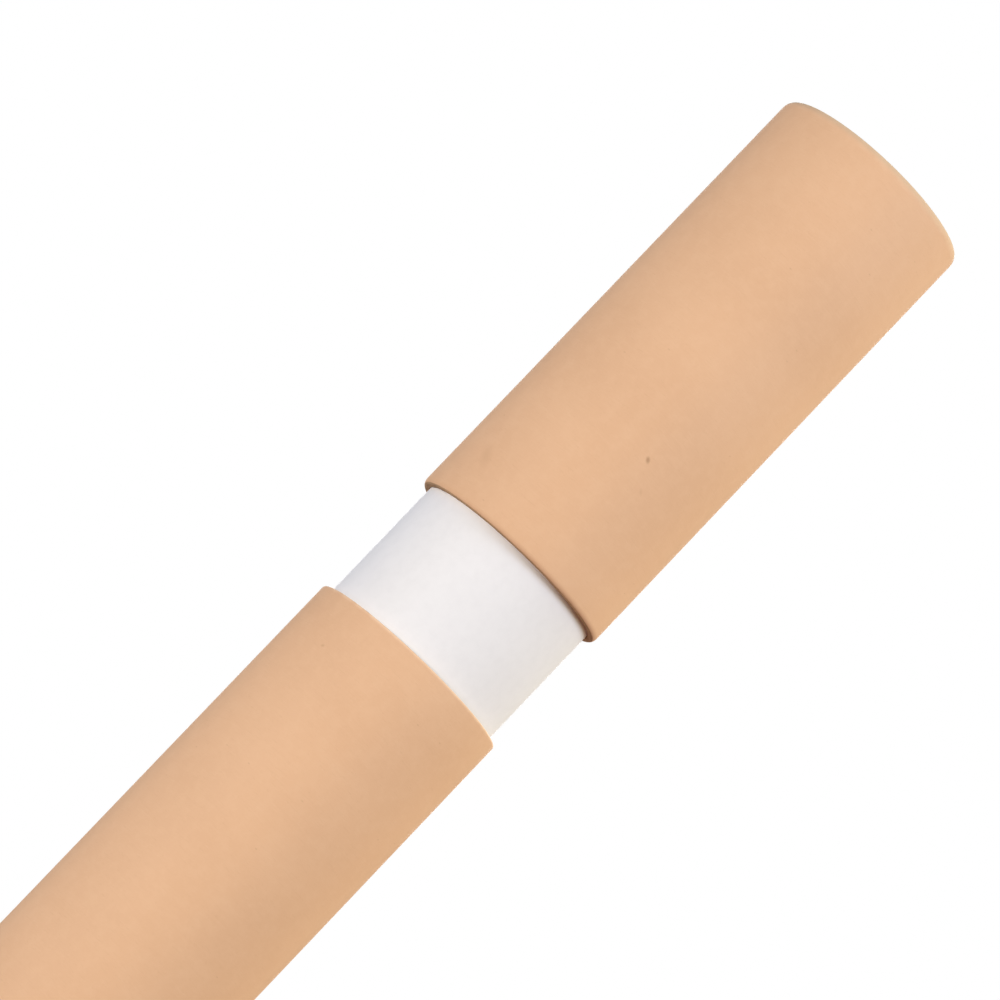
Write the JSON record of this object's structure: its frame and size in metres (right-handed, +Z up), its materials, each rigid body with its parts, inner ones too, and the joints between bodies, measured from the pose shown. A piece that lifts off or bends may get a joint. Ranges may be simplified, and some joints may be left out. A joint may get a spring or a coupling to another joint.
{
  "type": "incense paper tube",
  "caption": "Round telescoping paper tube for incense sticks: a kraft board body with a white inner neck, and a cap with a rolled rim drawn part of the way off the neck.",
  "frame": {"origin": "centre of the base, on the surface the tube stands on", "axes": "+Z up along the tube's axis, from the base to the cap"},
  "size_m": [0.0302, 0.0302, 0.2485],
  "materials": {
    "kraft_board": "matte",
    "disc_board": "matte",
    "white_paper": "matte"
  },
  "bodies": {
    "tube": {"body_tube": "kraft_board", "base_disc": "disc_board", "neck_sleeve": "white_paper"},
    "cap": {"cap_tube": "kraft_board", "cap_disc": "disc_board"}
  },
  "joints": [
    {"name": "cap_slide", "type": "slide", "parent": "tube", "child": "cap", "axis": [0, 0, 1], "range_m": [-0.0187, 0.0463]}
  ]
}
